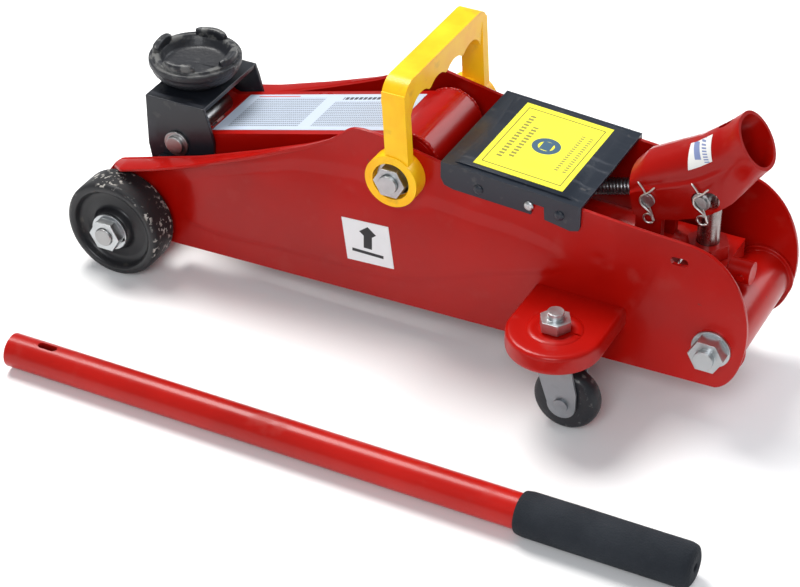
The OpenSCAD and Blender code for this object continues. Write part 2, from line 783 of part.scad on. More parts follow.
module handle_grip() {
  len = bar_x1 - bar_x0;
  place() color([0.16, 0.18, 0.2]) on_bar()
  difference() {
    union() {
      bar_along_x(0, 0, grip_r, len - grip_len + 1.5, len - 2);
      bar_along_x(0, 0, grip_r - 1.5, len - grip_len, len);
    }
    bar_along_x(0, 0, bar_r, -1, len - 3);
    bar_along_x(0, 0, 2.2, len - 10, len + 5);
  }
}

left_side_plate();
right_side_plate();
front_axle();
front_spacer_tube();
left_front_wheel();
right_front_wheel();
left_axle_nut();
right_axle_nut();
pivot_shaft();
left_pivot_nut();
right_pivot_nut();
lift_arm();
pivot_tube();
lever_pin();
push_roller();
arm_label();
saddle_bracket();
bracket_pin();
left_link_rod();
right_link_rod();
left_link_stud();
right_link_stud();
left_anchor_stud();
right_anchor_stud();
saddle();
saddle_nut();
power_unit_block();
ram_cylinder();
gland_nut();
ram();
cross_pin();
left_return_spring();
right_return_spring();
pump_cylinder();
pump_plunger();
plunger_pin();
plunger_clip();
release_valve();
handle_socket();
socket_pin();
socket_clip();
cover_plate();
cover_label();
left_cover_screws();
right_cover_screws();
carry_handle();
side_sticker();
left_caster_bracket();
right_caster_bracket();
left_kingpin();
right_kingpin();
left_caster_fork();
right_caster_fork();
left_caster_wheel();
right_caster_wheel();
rear_tube();
rear_bolt();
handle_tube();
handle_grip();
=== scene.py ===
"""Visual model of the trolley jack: smooth-edged copies of the metal parts, worked-out sheet,
turned and wire pieces, and painted, plated, cast, foam and printed finishes."""

import json
import math
import bmesh
import bpy
import numpy as np
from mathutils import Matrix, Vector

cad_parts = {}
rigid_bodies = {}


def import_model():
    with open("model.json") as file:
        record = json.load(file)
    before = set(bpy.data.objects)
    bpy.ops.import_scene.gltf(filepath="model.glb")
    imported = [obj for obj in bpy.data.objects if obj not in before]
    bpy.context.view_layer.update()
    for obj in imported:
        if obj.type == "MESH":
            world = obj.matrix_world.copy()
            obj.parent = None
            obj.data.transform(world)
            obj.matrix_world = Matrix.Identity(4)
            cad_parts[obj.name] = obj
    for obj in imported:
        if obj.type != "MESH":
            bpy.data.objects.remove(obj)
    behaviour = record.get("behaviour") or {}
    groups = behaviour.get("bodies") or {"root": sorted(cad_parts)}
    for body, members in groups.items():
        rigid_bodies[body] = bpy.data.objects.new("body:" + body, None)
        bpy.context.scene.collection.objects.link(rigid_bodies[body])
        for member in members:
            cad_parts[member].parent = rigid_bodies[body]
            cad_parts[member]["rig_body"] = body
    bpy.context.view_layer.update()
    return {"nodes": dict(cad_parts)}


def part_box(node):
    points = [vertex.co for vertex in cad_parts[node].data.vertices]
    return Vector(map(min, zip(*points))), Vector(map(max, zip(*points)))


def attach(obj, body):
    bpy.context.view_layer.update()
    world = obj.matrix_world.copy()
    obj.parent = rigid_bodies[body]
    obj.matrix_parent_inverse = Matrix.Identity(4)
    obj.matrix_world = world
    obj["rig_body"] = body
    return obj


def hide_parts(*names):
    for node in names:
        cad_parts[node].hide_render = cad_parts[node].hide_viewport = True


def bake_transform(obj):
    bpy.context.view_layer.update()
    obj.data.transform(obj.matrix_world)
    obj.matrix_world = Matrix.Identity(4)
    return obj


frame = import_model()
NODES = frame["nodes"]

# ---------------------------------------------------------------- places

lo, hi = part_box("front_axle")
MID = np.array([(lo[0] + hi[0]) / 2, (lo[1] + hi[1]) / 2, 0.0])
MM = 0.001
SIDES = (("left", -1), ("right", 1))

# places on the jack in millimetres: x backwards from the front axle, y to the right, z up
PLATE_Y, INNER_Y = 44.3, 41.8
WHEEL_R, CASTER_R = 33.3, 20.5
KINGPIN_X, CASTER_X, CASTER_Y = 311, 321, 81
SADDLE_X = 25
PIVOT_X, PIVOT_Z = 192, 117
HINGE_X, HINGE_Z = 338.8, 125.6
PLUNGER_X, PLUNGER_Z = 371.0, 133.7
BAR_X, BAR_Y, BAR_Z = -2, -180, 10.5


def spot(x, y, z):
    """Points given in millimetres from the floor under the front axle's middle, as row metres."""
    x, y, z = np.broadcast_arrays(*(np.asarray(v, float) for v in (x, y, z)))
    return np.stack([x, y, z], -1) * MM + MID


def ease(t):
    """Smooth step from 0 to 1: 3t^2 - 2t^3, held outside 0..1."""
    t = np.clip(t, 0, 1)
    return t * t * (3 - 2 * t)


# ---------------------------------------------------------------- shader maths

class Wire:
    """A shader socket that adds Math nodes when it is used in an expression."""

    def __init__(self, tree, socket):
        self.tree, self.socket = tree, socket

    def math(self, op, *values):
        """A Math node of the given operation on one or two values or sockets."""
        n = self.tree.nodes.new("ShaderNodeMath")
        n.operation = op
        for slot, v in zip(n.inputs, values):
            if isinstance(v, Wire):
                self.tree.links.new(v.socket, slot)
            else:
                slot.default_value = v
        return Wire(self.tree, n.outputs[0])

    def above(self, edge, soft):
        """0 below the edge, 1 past edge + soft, straight between."""
        m = (self - edge) / soft
        return m.math("MAXIMUM", m.least(1.0), 0.0)

    def __add__(self, o):
        return self.math("ADD", self, o)

    def __radd__(self, o):
        return self.math("ADD", o, self)

    def __sub__(self, o):
        return self.math("SUBTRACT", self, o)

    def __rsub__(self, o):
        return self.math("SUBTRACT", o, self)

    def __mul__(self, o):
        return self.math("MULTIPLY", self, o)

    def __rmul__(self, o):
        return self.math("MULTIPLY", o, self)

    def __truediv__(self, o):
        return self.math("DIVIDE", self, o)

    def __pow__(self, o):
        return self.math("POWER", self, o)

    def size(self):
        return self.math("ABSOLUTE", self)

    def least(self, o):
        return self.math("MINIMUM", self, o)

    def root(self):
        return self.math("SQRT", self)

    def part(self):
        return self.math("FRACT", self)


class Finish:
    """One material: a shader, the object's own coordinates and helpers for other nodes."""

    def __init__(self, name, colour, rough=0.5, metal=0.0, coat=0.0, shine=0.5):
        self.mat = bpy.data.materials.new(name)
        self.mat.use_nodes = True
        self.tree = self.mat.node_tree
        self.shader = next(n for n in self.tree.nodes if n.type == "BSDF_PRINCIPLED")
        self.shader.inputs["Base Color"].default_value = (*colour, 1)
        self.shader.inputs["Roughness"].default_value = rough
        self.shader.inputs["Metallic"].default_value = metal
        self.shader.inputs["Coat Weight"].default_value = coat
        self.shader.inputs["Coat Roughness"].default_value = 0.12
        self.shader.inputs["Specular IOR Level"].default_value = shine
        self.place = self.add("ShaderNodeTexCoord").outputs["Object"]
        xyz = self.add("ShaderNodeSeparateXYZ", Vector=self.place)
        self.x, self.y, self.z = (Wire(self.tree, s) for s in xyz.outputs)

    def add(self, kind, settings=None, **inputs):
        """Any node: its settings first, then values or links for its named sockets."""
        n = self.tree.nodes.new(kind)
        for k, v in (settings or {}).items():
            setattr(n, k, v)
        for k, v in inputs.items():
            s = n.inputs[k.replace("_", " ")]
            v = v.socket if isinstance(v, Wire) else v
            if isinstance(v, bpy.types.NodeSocket):
                self.tree.links.new(v, s)
            else:
                s.default_value = v
        return n

    def noise(self, scale, detail=3.0, at=None):
        n = self.add("ShaderNodeTexNoise", Vector=at or self.place, Scale=scale, Detail=detail)
        return Wire(self.tree, n.outputs[0])

    def cells(self, scale):
        n = self.add("ShaderNodeTexVoronoi", Vector=self.place, Scale=scale)
        return Wire(self.tree, n.outputs["Distance"])

    def stretched(self, sx, sy, sz):
        return self.add("ShaderNodeMapping", Vector=self.place, Scale=(sx, sy, sz)).outputs[0]

    def mix(self, mask, a, b):
        """Colour a where the mask is 0 and b where it is 1."""
        n = self.add("ShaderNodeMix", {"data_type": "RGBA"})
        self.tree.links.new(mask.socket, n.inputs[0])
        for slot, v in ((n.inputs[6], a), (n.inputs[7], b)):
            if isinstance(v, tuple):
                slot.default_value = (*v, 1)
            else:
                self.tree.links.new(v, slot)
        return n.outputs[2]

    def set(self, name, value):
        value = value.socket if isinstance(value, Wire) else value
        self.tree.links.new(value, self.shader.inputs[name])

    def bump(self, height, distance, strength):
        n = self.add("ShaderNodeBump", Height=height, Distance=distance, Strength=strength)
        self.tree.links.new(n.outputs[0], self.shader.inputs["Normal"])


def red_paint(name="gloss_red_enamel", colour=(0.47, 0.0035, 0.0008)):
    """Glossy sprayed enamel: faint orange peel, cloudy tone, dusty scuffs and small dark chips."""
    f = Finish(name, colour, 0.3, coat=0.1, shine=0.22)
    cloud = f.noise(9, 4)
    scuff = f.noise(60, 6).above(0.60, 0.12)
    chip = (f.noise(260, 4).above(0.735, 0.02) * f.noise(18, 2).above(0.52, 0.08)).least(1.0)
    deep = tuple(c * 0.66 for c in colour)
    tone = f.mix(cloud.above(0.35, 0.4), deep, colour)
    tone = f.mix(scuff * 0.10, tone, (0.42, 0.10, 0.08))
    tone = f.mix(chip * 0.8, tone, (0.09, 0.03, 0.028))
    f.set("Base Color", tone)
    f.set("Roughness", 0.24 + cloud * 0.12 + scuff * 0.2)
    f.bump(f.noise(420, 2) * 0.6 + chip * -1.5, 0.00005, 0.6)
    return f.mat


def black_paint(name, colour=(0.011, 0.013, 0.018), rough=0.33):
    """Black enamel on sheet steel: bluish, with fine rubbed lines and a little grey dust."""
    f = Finish(name, colour, rough, coat=0.1, shine=0.4)
    rub = f.noise(30, 5, f.stretched(1, 7, 1)).above(0.56, 0.16)
    dust = f.noise(120, 6).above(0.62, 0.1)
    tone = f.mix(rub * 0.45, colour, (0.05, 0.055, 0.07))
    f.set("Base Color", f.mix(dust * 0.25, tone, (0.16, 0.15, 0.14)))
    f.set("Roughness", rough + rub * 0.18 + dust * 0.2)
    f.bump(f.noise(350, 3), 0.00006, 0.6)
    return f.mat


def cast_black(name, worn_height=None):
    """Black-painted rough casting; above worn_height (m) the paint is rubbed to grey iron."""
    f = Finish(name, (0.010, 0.011, 0.014), 0.42, coat=0.1, shine=0.35)
    pits = f.cells(330)
    spots = f.noise(210, 5).above(0.62, 0.07)
    if worn_height is not None:
        spots = (spots * 0.25 + f.z.above(worn_height, 0.002) * f.noise(130, 4).above(0.47, 0.1)).least(1.0)
    f.set("Base Color", f.mix(spots * 0.75, (0.014, 0.015, 0.019), (0.13, 0.13, 0.125)))
    f.set("Roughness", 0.34 + f.noise(80, 4) * 0.3)
    f.bump(pits * 0.7 + f.noise(160, 5), 0.00025, 0.7)
    return f.mat


def wheel_cast(name, side):
    """Wheel casting: smooth black dish, and a tread chipped to pale metal and packed dust.
    The tread is where the distance from the axle passes 0.93 of the wheel's radius."""
    low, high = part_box(side + "_front_wheel")
    cx, cz, r = (low[0] + high[0]) / 2, (low[2] + high[2]) / 2, (high[2] - low[2]) / 2
    f = Finish(name, (0.008, 0.008, 0.010), 0.34, coat=0.1, shine=0.35)
    out = ((f.x - cx) ** 2.0 + (f.z - cz) ** 2.0).root()
    tread = out.above(r * 0.93, r * 0.03)
    chips = f.noise(330, 5).above(0.55, 0.05) * f.noise(60, 3).above(0.44, 0.12)
    wear = tread * chips
    rim = out.above(r * 0.72, r * 0.02) * (1 - tread) * f.noise(120, 4).above(0.6, 0.1)
    tone = f.mix(wear, (0.012, 0.012, 0.014), (0.42, 0.40, 0.37))
    f.set("Base Color", f.mix(rim * 0.25, tone, (0.16, 0.14, 0.11)))
    f.set("Roughness", 0.3 + tread * 0.3 + f.noise(90, 3) * 0.15)
    f.bump(wear * -1.0 + f.noise(240, 4) * (tread * 0.9 + 0.15), 0.0005, 0.8)
    return f.mat


def plated(name, colour=(0.50, 0.52, 0.53), rough=0.24):
    """Zinc-plated steel: soft cloudy plating with faint turning marks and dulled patches."""
    f = Finish(name, colour, rough, metal=1.0)
    cloud = f.noise(140, 5)
    dull = f.noise(40, 4).above(0.5, 0.2)
    f.set("Base Color", f.mix(dull * 0.7, colour, tuple(c * 0.62 for c in colour)))
    f.set("Roughness", rough + cloud * 0.22)
    f.bump(f.noise(600, 3), 0.00004, 0.6)
    return f.mat


def yellow_plastic():
    """Moulded yellow plastic: faint mottling, satin skin, light grime in the hollows."""
    f = Finish("moulded_yellow_plastic", (0.98, 0.52, 0.006), 0.36, coat=0.08, shine=0.3)
    mottle = f.noise(40, 4)
    grime = f.noise(90, 6).above(0.63, 0.1)
    tone = f.mix(mottle.above(0.4, 0.25), (0.97, 0.47, 0.003), (1.0, 0.58, 0.008))
    f.set("Base Color", f.mix(grime * 0.3, tone, (0.45, 0.23, 0.03)))
    f.set("Roughness", 0.3 + mottle * 0.2)
    f.bump(f.noise(500, 3), 0.00008, 0.5)
    return f.mat


def foam_skin():
    """Foam rubber grip: fine open cells and a slightly dusty bloom."""
    f = Finish("foam_rubber_grip", (0.021, 0.026, 0.034), 0.85, shine=0.3)
    cell = f.cells(900)
    bloom = f.noise(30, 5).above(0.45, 0.3)
    f.set("Base Color", f.mix(bloom * 0.5 + cell * 0.2, (0.010, 0.013, 0.018), (0.036, 0.041, 0.05)))
    f.set("Roughness", 0.78 + cell * 0.2)
    f.bump(cell + f.noise(300, 4) * 0.5, 0.00035, 0.8)
    return f.mat


def printed(name, paper, inside, marks):
    """A printed sticker. inside is its (low, high) box; each mark is an ink with the function
    that makes its mask from u, v and w, which run from 0 to 1 across the box in X, Y and Z."""
    low, high = inside
    f = Finish(name, paper, 0.4, coat=0.1, shine=0.35)
    u = (f.x - low[0]) / (high[0] - low[0])
    v = (f.y - low[1]) / (high[1] - low[1])
    w = (f.z - low[2]) / (high[2] - low[2])
    tone = f.mix(f.noise(50, 4).above(0.5, 0.3) * 0.25, paper, tuple(c * 0.8 for c in paper))
    for rule, ink in marks:
        tone = f.mix(rule(u, v, w), tone, ink)
    f.set("Base Color", tone)
    f.set("Roughness", 0.34 + f.noise(120, 3) * 0.15)
    f.bump(f.noise(70, 3), 0.00006, 0.5)
    return f.mat


def inside_of(c, a, b, soft=0.006):
    """1 where c lies between a and b, with a thin soft edge."""
    return c.above(a, soft) * (1 - c.above(b, soft))


def border(u, v, a, t):
    """A thin rectangular line at the distance a from each edge, t wide."""
    m = (0.5 - (u - 0.5).size()).least(0.5 - (v - 0.5).size())
    return inside_of(m, a, a + t, 0.003)


def rows(c, count, fill):
    """Evenly spaced lines across c: filled where the repeat is below fill."""
    return 1 - (c * count).part().above(fill, 0.08)


def ruled(u_range, v_range, count, strength):
    """A mark that is a block of even lines across v."""
    return lambda u, v, w: inside_of(u, *u_range) * inside_of(v, *v_range) * rows(v, count, 0.55) * strength


def text_block(u_range, v_range, lines, letters):
    """A mark that stands for small print: even lines across v, broken into dashes along u."""
    return lambda u, v, w: (inside_of(u, *u_range) * inside_of(v, *v_range) * rows(v, lines, 0.55)
                            * rows(u, letters, 0.7) * 0.75)


# ---------------------------------------------------------------- mesh helpers

def put(name, data):
    """A new object that holds the given data, linked into the scene."""
    o = bpy.data.objects.new(name, data)
    bpy.context.scene.collection.objects.link(o)
    return o


def build(name, verts, faces, mat, body, replaced=(), smooth=35):
    """A mesh in row metres, merged at its seams, shaded smooth up to the given angle."""
    me = bpy.data.meshes.new(name)
    me.from_pydata(verts.reshape(-1, 3).tolist(), [], faces)
    bm = bmesh.new()
    bm.from_mesh(me)
    bmesh.ops.remove_doubles(bm, verts=bm.verts, dist=2e-6)
    bmesh.ops.dissolve_degenerate(bm, dist=1e-7, edges=bm.edges)
    bmesh.ops.recalc_face_normals(bm, faces=bm.faces)
    bm.to_mesh(me)
    bm.free()
    return finish_piece(put(name, me), mat, body, replaced, smooth)


def finish_piece(o, mat, body, replaced=(), smooth=35):
    """Gives a piece its finish, shading and body, and hides the CAD nodes it stands for."""
    o.data.materials.clear()
    o.data.materials.append(mat)
    o.data.polygons.foreach_set("use_smooth", np.ones(len(o.data.polygons), bool))
    if hasattr(o.data, "set_sharp_from_angle"):
        o.data.set_sharp_from_angle(angle=math.radians(smooth))
    if body:
        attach(o, body)
    if replaced:
        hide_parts(*replaced)
    return o


def loop_faces(n, m, first=0, caps=True):
    """Quads between n rings of m points that close on themselves, and a face over each end."""
    i, j = np.meshgrid(np.arange(n - 1), np.arange(m), indexing="ij")
    k = (j + 1) % m
    q = np.stack([i * m + j, i * m + k, (i + 1) * m + k, (i + 1) * m + j], -1).reshape(-1, 4) + first
    faces = q.tolist()
    if caps:
        faces += [(first + np.arange(m)[::-1]).tolist(), (first + (n - 1) * m + np.arange(m)).tolist()]
    return faces


def lofts(name, parts, mat, body, replaced=(), caps=True, smooth=35):
    """One piece made of several lofts, each an array of rings (rings, points, 3)."""
    verts, faces, first = [], [], 0
    for rings in parts:
        n, m = rings.shape[:2]
        verts.append(rings.reshape(-1, 3))
        faces += loop_faces(n, m, first, caps)
        first += n * m
    return build(name, np.concatenate(verts), faces, mat, body, replaced, smooth)


def rounded(profile, radius, steps=4):
    """A closed profile with each corner cut back by radius (or half its edge) and turned by a
    quadratic curve: (1-t)^2 a + 2t(1-t) corner + t^2 b."""
    p = np.asarray(profile, float)
    before, after = np.roll(p, 1, 0) - p, np.roll(p, -1, 0) - p
    cut = [np.minimum(radius, np.linalg.norm(d, axis=1) * 0.45)[:, None] for d in (before, after)]
    a = p + before / np.linalg.norm(before, axis=1)[:, None] * cut[0]
    b = p + after / np.linalg.norm(after, axis=1)[:, None] * cut[1]
    t = np.linspace(0, 1, steps)[None, :, None]
    return ((1 - t) ** 2 * a[:, None] + 2 * t * (1 - t) * p[:, None] + t ** 2 * b[:, None]).reshape(-1, 2)


def on_axis(profile):
    """A profile to be turned, with no point past its axis."""
    return np.maximum(profile, [0, -np.inf])


def turned(profile, centre, axis, count):
    """Rings of a turned solid: each (radius, height) of a closed profile swept round the axis."""
    a = np.linspace(0, 2 * np.pi, count + 1)[:, None]
    r, h = np.asarray(profile)[:, 0][None], np.asarray(profile)[:, 1][None]
    u, v, w = r * np.cos(a), r * np.sin(a), h + 0 * a
    x, y, z = {"y": (u, w, v), "z": (u, v, w)}[axis]
    return spot(x + centre[0], y + centre[1], z + centre[2])


def curve(points, count):
    """A smooth path through the points: Catmull-Rom, at count even steps of its parameter."""
    p = np.asarray(points, float)
    p = np.vstack([2 * p[0] - p[1], p, 2 * p[-1] - p[-2]])
    t = np.linspace(0, len(p) - 3 - 1e-9, count)
    i, f = t.astype(int), (t % 1)[:, None]
    a, b, c, d = (p[i + k] for k in range(4))
    return 0.5 * (2 * b + (c - a) * f + (2 * a - 5 * b + 4 * c - d) * f ** 2
                  + (3 * b - a - 3 * c + d) * f ** 3)


def wire(path, r, side, sides=10):
    """Rings of a round wire on a path: radius r about it, turned from the side direction, with
    the ring at each end narrowed to 0.55 of its size."""
    p = np.asarray(path, float)
    t = np.gradient(p, axis=0)
    t /= np.linalg.norm(t, axis=1)[:, None]
    n = np.cross(t, side)
    n /= np.linalg.norm(n, axis=1)[:, None]
    b = np.cross(t, n)
    s = np.ones(len(p))
    s[[0, -1]] = 0.55
    a = np.linspace(0, 2 * np.pi, sides, endpoint=False)
    ring = p[:, None] + r * s[:, None, None] * (np.cos(a)[None, :, None] * n[:, None]
                                              + np.sin(a)[None, :, None] * b[:, None])
    return spot(ring[..., 0], ring[..., 1], ring[..., 2])


FLAT, CORNER = math.radians(0.6), math.radians(32)


def softened(node, mat, width):
    """A merged copy of a CAD node: faces within FLAT of each other are joined, and edges
    sharper than CORNER are rounded over the given width in millimetres."""
    me = NODES[node].data.copy()
    bm = bmesh.new()
    bm.from_mesh(me)
    bmesh.ops.remove_doubles(bm, verts=bm.verts, dist=1e-6)
    bmesh.ops.dissolve_limit(bm, angle_limit=FLAT, verts=bm.verts, edges=bm.edges)
    bm.to_mesh(me)
    bm.free()
    o = put(node + "_skin", me)
    m = o.modifiers.new("edges", "BEVEL")
    m.width = width * MM
    m.segments = 3
    m.limit_method = "ANGLE"
    m.angle_limit = CORNER
    m.harden_normals = True
    m.use_clamp_overlap = True
    return finish_piece(o, mat, NODES[node]["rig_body"], (node,), 40)


def cut(piece, cutters):
    """Takes closed solids away from a piece and keeps the result as its mesh."""
    for rings in cutters:
        n, m = rings.shape[:2]
        me = bpy.data.meshes.new("cutter")
        me.from_pydata(rings.reshape(-1, 3).tolist(), [], loop_faces(n, m))
        bm = bmesh.new()
        bm.from_mesh(me)
        bmesh.ops.recalc_face_normals(bm, faces=bm.faces)
        bm.to_mesh(me)
        bm.free()
        tool = put("cutter", me)
        mod = piece.modifiers.new("cut", "BOOLEAN")
        mod.object = tool
        mod.solver = "EXACT"
        bpy.context.view_layer.update()
        graph = bpy.context.evaluated_depsgraph_get()
        got = bpy.data.meshes.new_from_object(piece.evaluated_get(graph))
        piece.modifiers.remove(mod)
        piece.data = got
        bpy.data.objects.remove(tool)


def slot_cutter(xa, za, xb, zb, r, y0, y1, count=24):
    """A round-ended slot through Y: points at r round its two ends, taken as one outline."""
    a = np.linspace(-np.pi / 2, np.pi / 2, count // 2)
    turn = math.atan2(zb - za, xb - xa)
    x = np.concatenate([xb + r * np.cos(a + turn), xa - r * np.cos(a + turn)])
    z = np.concatenate([zb + r * np.sin(a + turn), za - r * np.sin(a + turn)])
    return np.stack([spot(x, y, z) for y in (y0, y1)])


# ---------------------------------------------------------------- finishes

RED = red_paint()
BAR_RED = red_paint("bar_red_enamel", (0.52, 0.009, 0.005))
BLACK = black_paint("black_enamel_sheet")
COVER_BLACK = black_paint("cover_blue_black", (0.013, 0.018, 0.028), 0.28)
CAST = cast_black("saddle_casting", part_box("saddle")[1][2] - 0.0075)
ZINC = plated("zinc_plate")
STEEL = plated("bright_steel", (0.36, 0.36, 0.36), 0.26)
BRIGHT = plated("clip_wire", (0.72, 0.71, 0.68), 0.2)
PLUNGER = plated("ground_plunger", (0.34, 0.30, 0.29), 0.16)
FORK = plated("grey_fork_steel", (0.30, 0.32, 0.34), 0.4)
SPRING = plated("zinc_spring_wire", (0.42, 0.42, 0.43), 0.25)
YELLOW = yellow_plastic()
FOAM = foam_skin()
TREAD = cast_black("caster_nylon")

DEVICE_INK = (0.05, 0.11, 0.17)
HEADING_INK = (0.16, 0.15, 0.05)
NOTE_INK = (0.2, 0.18, 0.06)
cover_print = printed("yellow_cover_print", (0.86, 0.80, 0.05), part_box("cover_label"), [
    (lambda u, v, w: border(u, v, 0.055, 0.010), (0.10, 0.09, 0.03)),
    (ruled((0.14, 0.20), (0.16, 0.84), 22, 0.85), HEADING_INK),
    (ruled((0.25, 0.31), (0.20, 0.70), 22, 0.85), HEADING_INK),
    (lambda u, v, w: inside_of(((u - 0.52) ** 2.0 + ((v - 0.5) * 1.33) ** 2.0).root(), 0.085, 0.15),
     DEVICE_INK),
    (lambda u, v, w: inside_of(u, 0.46, 0.58) * inside_of(v, 0.44, 0.56), DEVICE_INK),
    (ruled((0.76, 0.80), (0.22, 0.78), 30, 0.8), NOTE_INK),
    (ruled((0.85, 0.89), (0.22, 0.78), 30, 0.8), NOTE_INK),
])
TEXT_INK = (0.07, 0.08, 0.10)
# the arm label's white paper is given as a dimmer blue-grey (0.50, 0.57, 0.68): a painted reflection of the
# blue sky on the arm's top
arm_print = printed("white_arm_print_painted_sky_tint", (0.50, 0.57, 0.68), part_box("arm_label"), [
    (text_block((0.06, 0.46), (0.10, 0.90), 19, 90), TEXT_INK),
    (text_block((0.53, 0.95), (0.10, 0.78), 21, 84), TEXT_INK),
    (lambda u, v, w: inside_of(u, 0.56, 0.90) * inside_of(v, 0.84, 0.91) * rows(u, 40, 0.7),
     (0.05, 0.05, 0.06)),
    (lambda u, v, w: inside_of(u, 0.06, 0.30) * inside_of(v, 0.93, 0.955), (0.5, 0.06, 0.05)),
])
ARROW_INK = (0.015, 0.015, 0.018)
side_print = printed("white_side_print", (0.78, 0.79, 0.80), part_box("side_sticker"), [
    (lambda u, v, w: inside_of((u - 0.5).size() + (w - 0.72).size() * 1.1, -1, 0.16), ARROW_INK),
    (lambda u, v, w: inside_of(u, 0.42, 0.58) * inside_of(w, 0.36, 0.70), ARROW_INK),
    (lambda u, v, w: inside_of(u, 0.20, 0.80) * inside_of(w, 0.22, 0.29), ARROW_INK),
])

# ---------------------------------------------------------------- pressed side plates

TOP_X = np.array([-22, -21.2, -18, -12, -6, 53, 96, 132, 149, 156, 162.5, 176, 218.5, 309, 345, 379,
                  390, 398, 404.5, 410, 413, 413.7])
TOP_Z = np.array([41, 49, 57, 65.5, 70.7, 88.5, 105, 120, 129, 137, 140, 139.6, 131.5, 125.5, 122.4,
                  120.4, 117, 112, 105, 94, 80, 68])
LOW_X = np.array([-22, -19, -12, -4, 3, 22.5, 397.4, 403.5, 408, 412.4, 413.7])
LOW_Z = np.array([41, 30, 21.2, 17, 16, 16.5, 27.3, 31, 37, 51, 68])
CREASE_X = np.array([30, 42, 62, 121, 169, 194, 222, 246, 282, 312])
CREASE_Z = np.array([42, 34.5, 31.9, 35, 36.5, 38.6, 47.2, 58.6, 70.5, 82.7])
RIDGE_X = np.array([30, 62, 121, 160, 200, 216, 240, 270, 293, 312])
RIDGE_Z = np.array([66, 80, 102, 108, 103.5, 101.6, 99.4, 97.9, 93.9, 84.5])


def edge_top(x):
    """The plate's upper edge, softened by averaging it over 5 mm either side, with the rear
    corner turned as a quarter ellipse."""
    k = np.linspace(-5, 5, 11)
    wide = np.interp(x[..., None] + k, TOP_X, TOP_Z).mean(-1)
    inner = ease((x + 8) / 12) * ease((392 - x) / 12)
    round_off = np.sqrt(np.clip(1 - ((x - 375) / 38.7) ** 2, 0, 1))
    plain = np.where(x > 382, 68 + 52.5 * round_off, np.interp(x, TOP_X, TOP_Z))
    return plain * (1 - inner) + wide * inner


def pressing(x, z):
    """Height of the spear-shaped pressing: it rises across 5 mm above its lower crease and
    falls across 9 mm at its upper ridge, fading at both points and round the pivot eye."""
    low, top = np.interp(x, CREASE_X, CREASE_Z), np.interp(x, RIDGE_X, RIDGE_Z)
    rise = ease((z - low) / 5) * ease((top + 5 - z) / 9)
    ends = ease((x - 34) / 12) * ease((311 - x) / 30)
    away = ease((np.hypot(x - PIVOT_X, z - PIVOT_Z) - 18) / 9)
    return 1.15 * rise * ends * away


def dimples(x, z):
    """Two small round punch marks, 0.5 mm deep in the middle."""
    return sum(0.5 * np.exp(-((x - a) ** 2 + (z - b) ** 2) / 5.0) for a, b in ((319.9, 95.1), (158.2, 94.6)))


def side_plate(side, sign):
    """The plate: at each x, a loop up its outer face and down its inner face, 2.5 mm apart,
    with edges bevelled by 0.7 mm; then its turned-out front flange and turned-in foot."""
    x = np.concatenate([-22 + 30 * np.linspace(0, 1, 26) ** 2, np.linspace(10, 395, 190),
                        413.7 - 18 * np.linspace(1, 0, 24)[1:] ** 2])
    round_off = np.sqrt(np.clip(1 - ((x - 395) / 18.7) ** 2, 0, 1))
    low = np.where(x > 395, 68 - 40.9 * round_off, np.interp(x, LOW_X, LOW_Z))
    top = np.maximum(edge_top(x), low + 0.3)
    half = (top - low) / 2 - 0.05
    c = np.minimum(0.7, half)[:, None]
    v = np.linspace(0, 1, 56)[None]
    z_out = low[:, None] + c + (top - low - 2 * c[:, 0])[:, None] * v
    y_out = -PLATE_Y - pressing(x[:, None], z_out) + dimples(x[:, None], z_out)
    y_in = -INNER_Y + 0 * z_out
    z_in = z_out[:, ::-1]
    mid = np.full_like(top, -(PLATE_Y + INNER_Y) / 2)[:, None]
    zs = np.concatenate([z_out, top[:, None], z_in, low[:, None]], 1)
    ys = np.concatenate([y_out, mid, y_in, mid], 1)
    plate = spot(x[:, None], -sign * ys, zs)

    fx = np.linspace(-6, 150, 80)
    fw = np.interp(fx, [-6, 2, 25, 150], [9, 15, 15, 0.3])
    ft = edge_top(fx)
    across = np.array([0, 0.05, 0.15, 0.96, 1, 1, 0.96, 0.1, 0])
    drop = np.array([1.1, 0.45, 0, 0, 0.5, 1.9, 2.4, 2.4, 3.4])
    flange = spot(fx[:, None], sign * (PLATE_Y - 0.3 + fw[:, None] * across), ft[:, None] - drop)

    bx = np.linspace(27, 393, 40)
    bz = np.interp(bx, LOW_X, LOW_Z)
    foot_y = np.array([0, 8, 8, 0])
    foot = spot(bx[:, None], sign * (INNER_Y + 0.2 - foot_y), bz[:, None] + np.array([0.1, 0.1, 2.1, 2.1]))
    o = lofts(side + "_plate_pressing", [plate], RED, None, smooth=30)
    cut(o, [slot_cutter(367, 107.7, 372.6, 107.7, 2.6, sign * 36, sign * 52)])
    finish_piece(o, RED, "chassis", (side + "_side_plate",), 30)
    lofts(side + "_plate_flange", [flange, foot], RED, "chassis", smooth=40)


for side, sign in SIDES:
    side_plate(side, sign)

# ---------------------------------------------------------------- wheels and casters

